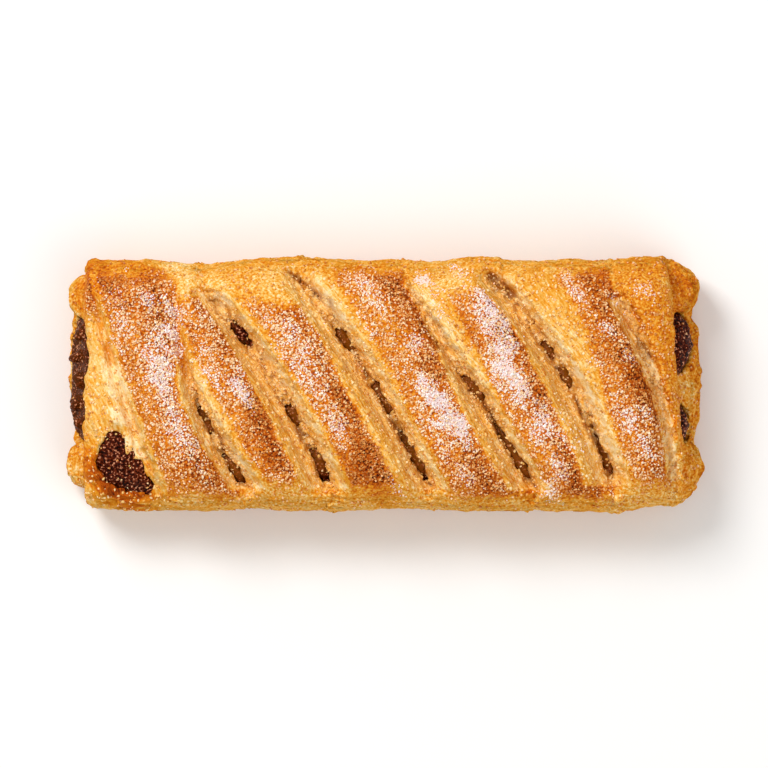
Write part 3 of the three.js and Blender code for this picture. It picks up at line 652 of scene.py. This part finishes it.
# How large and proud the lumps and the fruit are, how far the filling has swollen in the slits and in the
# burst patch, and how far it has shrunk back at the two ends
LUMP_RELIEF = 0.4
FRUIT = 1.5
FRUIT_RELIEF = 0.7
SMOOTHER_IN_SLITS = 0.65
SWELL_IN_SLITS = 0.4
BURST_SWELL = 0.5
LEFT_SET_BACK = 0.2
RIGHT_SET_BACK = 0.8
place = points_of(mincemeat)
fruit = np.array([noise.voronoi(p)[0][0] for p in (place / FRUIT).tolist()])
lumps = LUMP_RELIEF * noise_at(place, 2.2, 21) + FRUIT_RELIEF * (0.6 - np.sqrt(fruit))
lumps *= 1 - SMOOTHER_IN_SLITS * in_slits(place)
lumps += SWELL_IN_SLITS * in_slits(place)
lumps += BURST_SWELL * smoothstep(place[:, 2], 15, 18) * (1 - smoothstep(place[:, 0], *BURST_STOPS))
place += normals_of(mincemeat) * lumps[:, None]
place[:, 0] += LEFT_SET_BACK * smoothstep(-place[:, 0], 70, 73)
place[:, 0] -= RIGHT_SET_BACK * smoothstep(place[:, 0], 69, 72)
move_points(mincemeat, place)
thin_out(mincemeat, MINCE_TRIANGLES)

# Where syrup shows: all along the slits but for one dark window; thinner amber at the left end is painted
# light
DARK_WINDOW = [(-33, 12, 5, 1)]
LEFT_END_PAINTED_LIGHT = 0.3
place = points_of(mincemeat)
syrup_and_painted_light = in_slits(place) * (1 - patches_at(place, DARK_WINDOW))
syrup_and_painted_light += LEFT_END_PAINTED_LIGHT * smoothstep(-place[:, 0], 68, 71)
set_attribute(mincemeat, "syrup_and_painted_light", syrup_and_painted_light)

# Sticky dark fruit and syrup: nearly black with small painted glint highlights, amber from syrup and painted
# light
MINCE_TONES_WITH_GLINTS = [(0.37, "#160300"), (0.5, "#4A1202"), (0.6, "#783012"), (0.66, "#E8A880")]
SYRUP_AND_LIT_AMBER = "#96540C"
SYRUP_AND_LIGHT_SHARE = 0.58
FRUIT_GRAIN = 0.6
SKIN_GRAIN = 0.5
mince, mince_shader = new_material("baked_mincemeat")
where = add_node(mince, "ShaderNodeTexCoord").outputs["Object"]
bits = add_node(
    mince, "ShaderNodeTexNoise", {"Vector": where, "Scale": 1 / (FRUIT_GRAIN * MM), "Detail": 3}
).outputs["Fac"]
syrup_and_light = add_node(mince, "ShaderNodeAttribute", attribute_name="syrup_and_painted_light").outputs["Fac"]
fruit_and_glints = add_node(mince, "ShaderNodeValToRGB", {"Fac": bits}, MINCE_TONES_WITH_GLINTS).outputs["Color"]
syrup_and_light_share = add_node(
    mince, "ShaderNodeMath", {0: syrup_and_light, 1: SYRUP_AND_LIGHT_SHARE}, operation="MULTIPLY"
).outputs[0]
sticky = add_node(
    mince, "ShaderNodeMix", {0: syrup_and_light_share, 6: fruit_and_glints, 7: linear(SYRUP_AND_LIT_AMBER)}, data_type="RGBA"
).outputs[2]
skins = add_node(
    mince, "ShaderNodeTexNoise", {"Vector": where, "Scale": 1 / (SKIN_GRAIN * MM), "Detail": 2}
).outputs["Fac"]
rough = add_node(mince, "ShaderNodeMath", {0: syrup_and_light, 1: -0.5, 2: 1}, operation="MULTIPLY_ADD").outputs[0]
bump = add_node(
    mince, "ShaderNodeBump", {"Height": skins, "Strength": rough, "Distance": 0.5 * MM}
).outputs[0]
mince.node_tree.links.new(sticky, mince_shader.inputs["Base Color"])
mince.node_tree.links.new(bump, mince_shader.inputs["Normal"])
mince_shader.inputs["Roughness"].default_value = 0.25
mince_shader.inputs["Specular IOR Level"].default_value = 0.05
mincemeat.data.materials.append(mince)
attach(mincemeat, "root")
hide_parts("mincemeat")


# The crumbs
# Small torn flakes of the same dough, left in the slits and on the torn slat when the lid opened in the
# oven. They cling to the walls and to the sticky filling.

CRUMB_SIZES = (0.3, 0.8)
CRUMB_SQUASH = (0.3, 1.5)
CRUMB_TONES = (0, 0.24)
CRUMBS_PER_MM2 = 6
STAY_ON_FILLING = 0.1
LEAST_FACING_UP = 0.35
FROM_ABOVE = Vector((0, 0, 50 * MM))
DOWN = Vector((0, 0, -1))
SEED = 5
chance = np.random.default_rng(SEED)
depsgraph = bpy.context.evaluated_depsgraph_get()
trees = [BVHTree.FromObject(piece, depsgraph) for piece in (pastry, mincemeat)]


def strewn(share_at, per_mm2):
    """Evenly strewn places where something lands on crust or filling, each kept by its share, and the
    normals there. Less of it stays on the filling."""
    box = np.array([2 * HALF_LENGTH, 2 * HALF_WIDTH])
    flat = (chance.random((int(per_mm2 * box.prod()), 2)) - 0.5) * box
    flat = np.column_stack([flat, np.full(len(flat), ROLL_TOP)])
    landed = []
    for point, luck, share in zip(flat, chance.random(len(flat)), share_at(flat)):
        if luck > share:
            continue
        above = Vector((point[0] * MM, point[1] * MM, 0)) + FROM_ABOVE
        on_crust, on_filling = [tree.ray_cast(above, DOWN) for tree in trees]
        filled = on_filling[0] and (not on_crust[0] or on_filling[0].z > on_crust[0].z)
        place, normal = (on_filling if filled else on_crust)[:2]
        stays = share * (STAY_ON_FILLING if filled else 1)
        if place and normal.z > LEAST_FACING_UP and luck < stays:
            landed.append((*place, *normal))
    landed = np.array(landed)
    return landed[:, :3] / MM, landed[:, 3:]


def random_turns(count):
    """Rotation matrices that point evenly every way."""
    drawn = chance.normal(size=(4, count))
    a, b, c, d = drawn / np.linalg.norm(drawn, axis=0)
    return np.array([
        [1 - 2 * (c * c + d * d), 2 * (b * c - a * d), 2 * (b * d + a * c)],
        [2 * (b * c + a * d), 1 - 2 * (b * b + d * d), 2 * (c * d - a * b)],
        [2 * (b * d - a * c), 2 * (c * d + a * b), 1 - 2 * (b * b + c * c)],
    ]).transpose(2, 0, 1)


def joined_copies(name, seed_shape, places, sizes):
    """One piece with a copy of the small shape at each place, turned at random, in millimetres."""
    seed_shape.verts.index_update()
    corners = np.array([v.co for v in seed_shape.verts])
    faces = np.array([[v.index for v in f.verts] for f in seed_shape.faces])
    seed_shape.free()
    turns = random_turns(len(places))
    copies = np.einsum("nij,nkj->nki", turns, corners[None] * sizes[:, None]) + places[:, None]
    offsets = len(corners) * np.arange(len(places))
    all_faces = (faces[None] + offsets[:, None, None]).reshape(-1, faces.shape[1])
    mesh = bpy.data.meshes.new(name)
    mesh.from_pydata((copies.reshape(-1, 3) * MM).tolist(), [], all_faces.tolist())
    piece = bpy.data.objects.new(name, mesh)
    bpy.context.scene.collection.objects.link(piece)
    return piece


def crumb_share(points):
    """How thickly crumbs lie at each point, from 0 to 1: in clusters down in the slits."""
    lid = read_lid(points)
    clustered = smoothstep(noise_at(points, 3.5, 32), 0, 0.35) * np.exp(-(((lid["gap"] + 0.5) / 2.2) ** 2))
    return lid["wall"] * (0.2 + 0.8 * clustered) + 0.12 * lid["torn"]


places, _ = strewn(crumb_share, CRUMBS_PER_MM2)
sizes = chance.uniform(*CRUMB_SIZES, (len(places), 1)) * chance.uniform(*CRUMB_SQUASH, (len(places), 3))
flake = bmesh.new()
bmesh.ops.create_icosphere(flake, subdivisions=1, radius=0.5)
flake_corners = len(flake.verts)
pastry_crumbs = joined_copies("pastry_crumbs", flake, places, sizes)
crumb_bake = np.repeat(chance.uniform(*CRUMB_TONES, len(places)), flake_corners)
set_attribute(pastry_crumbs, "bake_and_shade", crumb_bake)
set_attribute(pastry_crumbs, "layered", np.ones(len(crumb_bake)))
pastry_crumbs.data.materials.append(crust)
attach(pastry_crumbs, "root")


# The caster sugar
# Grains of about half a millimetre, strewn over the egg wash before baking. They stick to the browned slats,
# a few to the filling, and take on some of their colour.

GRAIN_SIZES = (0.42, 0.72)
GRAIN_SQUASH = (0.6, 1.35)
GRAINS_PER_MM2 = 3.9
GRAIN_STANDS_OUT = 0.2

# How white a grain is: at least the first, and up to the second more at random. Icing sugar, dark crust and
# lying astray change it.
WHITENESS = (0.2, 0.6)
FROSTED_WHITER = 0.4
BAKED_DARKER = 0.5
STRAYS_DARKER = 0.2
places, outward = strewn(sugar_share, GRAINS_PER_MM2)
sizes = chance.uniform(*GRAIN_SIZES, (len(places), 1)) * chance.uniform(*GRAIN_SQUASH, (len(places), 3))
places += outward * GRAIN_STANDS_OUT * sizes.mean(axis=1)[:, None]
crystal = bmesh.new()
bmesh.ops.create_uvsphere(crystal, u_segments=4, v_segments=2, radius=0.5)
crystal_corners = len(crystal.verts)
caster_sugar = joined_copies("caster_sugar", crystal, places, sizes)
whiteness = WHITENESS[0] + WHITENESS[1] * chance.random(len(places))
whiteness += FROSTED_WHITER * patches_at(places, FROST_PATCHES)
whiteness -= BAKED_DARKER * patches_at(places, DARK_PATCHES)
whiteness -= STRAYS_DARKER * (1 - browned_share(places, read_lid(places)))
set_attribute(caster_sugar, "whiteness", np.repeat(whiteness, crystal_corners))

# Sugar crystals, amber where they caramelised and white where they stayed dry, bright and a little glossy
SUGAR_TONES = [(0.0, "#C8701C"), (0.35, "#F0B060"), (0.7, "#FFE2B8"), (1.0, "#FFF8F6")]
sugar, sugar_shader = new_material("caster_sugar")
white = add_node(sugar, "ShaderNodeAttribute", attribute_name="whiteness").outputs["Fac"]
tint = add_node(sugar, "ShaderNodeValToRGB", {"Fac": white}, SUGAR_TONES).outputs["Color"]
sugar.node_tree.links.new(tint, sugar_shader.inputs["Base Color"])
sugar_shader.inputs["Roughness"].default_value = 0.3
sugar_shader.inputs["IOR"].default_value = 1.54
caster_sugar.data.materials.append(sugar)
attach(caster_sugar, "root")


# The icing sugar
# Fine powder sieved on after baking, which clumps into soft white patches on the slats. It lies loose, so
# little of it stays on the slit walls.

CLUMP_SIZES = (0.28, 0.56)
CLUMP_SQUASH = (0.6, 1.1)
CLUMPS_PER_MM2 = 4.5


def icing_share(points):
    """How thickly icing sugar lies at each point, from 0 to 1: in speckled patches."""
    lid = read_lid(points)
    speckle = smoothstep(noise_at(points, 1.6, 41), -0.1, 0.4)
    return patches_at(points, FROST_PATCHES) ** 1.5 * speckle * (1 - 0.6 * lid["wall"])


places, _ = strewn(icing_share, CLUMPS_PER_MM2)
sizes = chance.uniform(*CLUMP_SIZES, (len(places), 1)) * chance.uniform(*CLUMP_SQUASH, (len(places), 3))
clump = bmesh.new()
bmesh.ops.create_icosphere(clump, subdivisions=1, radius=0.5)
icing_sugar = joined_copies("icing_sugar", clump, places, sizes)
icing_sugar.data.polygons.foreach_set("use_smooth", np.ones(len(icing_sugar.data.polygons), bool))

# Dry white powder, quite matt, with the faintest pink from the crust around it
ICING_WHITE = "#FAF0F2"
icing, icing_shader = new_material("icing_sugar")
icing_shader.inputs["Base Color"].default_value = linear(ICING_WHITE)
icing_shader.inputs["Roughness"].default_value = 0.95
icing_shader.inputs["Specular IOR Level"].default_value = 0.2
icing_sugar.data.materials.append(icing)
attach(icing_sugar, "root")


# The floor, the light and the camera
# A plain pale table top that the roll lies on, under large soft lamps in a white room. The camera looks
# straight down on it.

FLOOR_SIZE = 3
TABLE_WHITE = "#F7F6F4"
bpy.ops.mesh.primitive_plane_add(size=FLOOR_SIZE)
floor = bpy.context.object
floor.name = "floor"

# Painted board: pale and matt, so that it shows a soft shadow and no reflection
table_top, table_shader = new_material("matt_white_table_top")
table_shader.inputs["Base Color"].default_value = linear(TABLE_WHITE)
table_shader.inputs["Roughness"].default_value = 0.9
floor.data.materials.append(table_top)


def add_softbox(name, place, size, watts):
    """Adds a square lamp at that place, in metres, that shines at the middle of the floor."""
    lamp = bpy.data.lights.new(name, "AREA")
    lamp.size = size
    lamp.energy = watts
    softbox = bpy.data.objects.new(name, lamp)
    softbox.location = place
    softbox.rotation_euler = (-Vector(place)).to_track_quat("-Z", "Y").to_euler()
    bpy.context.scene.collection.objects.link(softbox)


add_softbox("main_softbox", (-0.45, 0.5, 0.8), 0.4, 7)
add_softbox("fill_softbox", (0.5, -0.5, 0.9), 0.8, 3.5)

ROOM_LIGHT = 0.5
world = bpy.data.worlds.new("studio")
world.use_nodes = True
room = world.node_tree.nodes["Background"]
room.inputs["Color"].default_value = linear("#FFFFFF")
room.inputs["Strength"].default_value = ROOM_LIGHT
bpy.context.scene.world = world
bpy.context.scene.view_settings.view_transform = "Standard"

PICTURE_SPAN = 180.9 * MM
PICTURE_HEIGHT = 10 * MM
LENS_MM = 400
camera = bpy.data.cameras.new("camera")
camera.lens = LENS_MM
eye = bpy.data.objects.new("camera", camera)
eye.location = (0, 0, PICTURE_HEIGHT + PICTURE_SPAN * LENS_MM / camera.sensor_width)
bpy.context.scene.collection.objects.link(eye)
bpy.context.scene.camera = eye
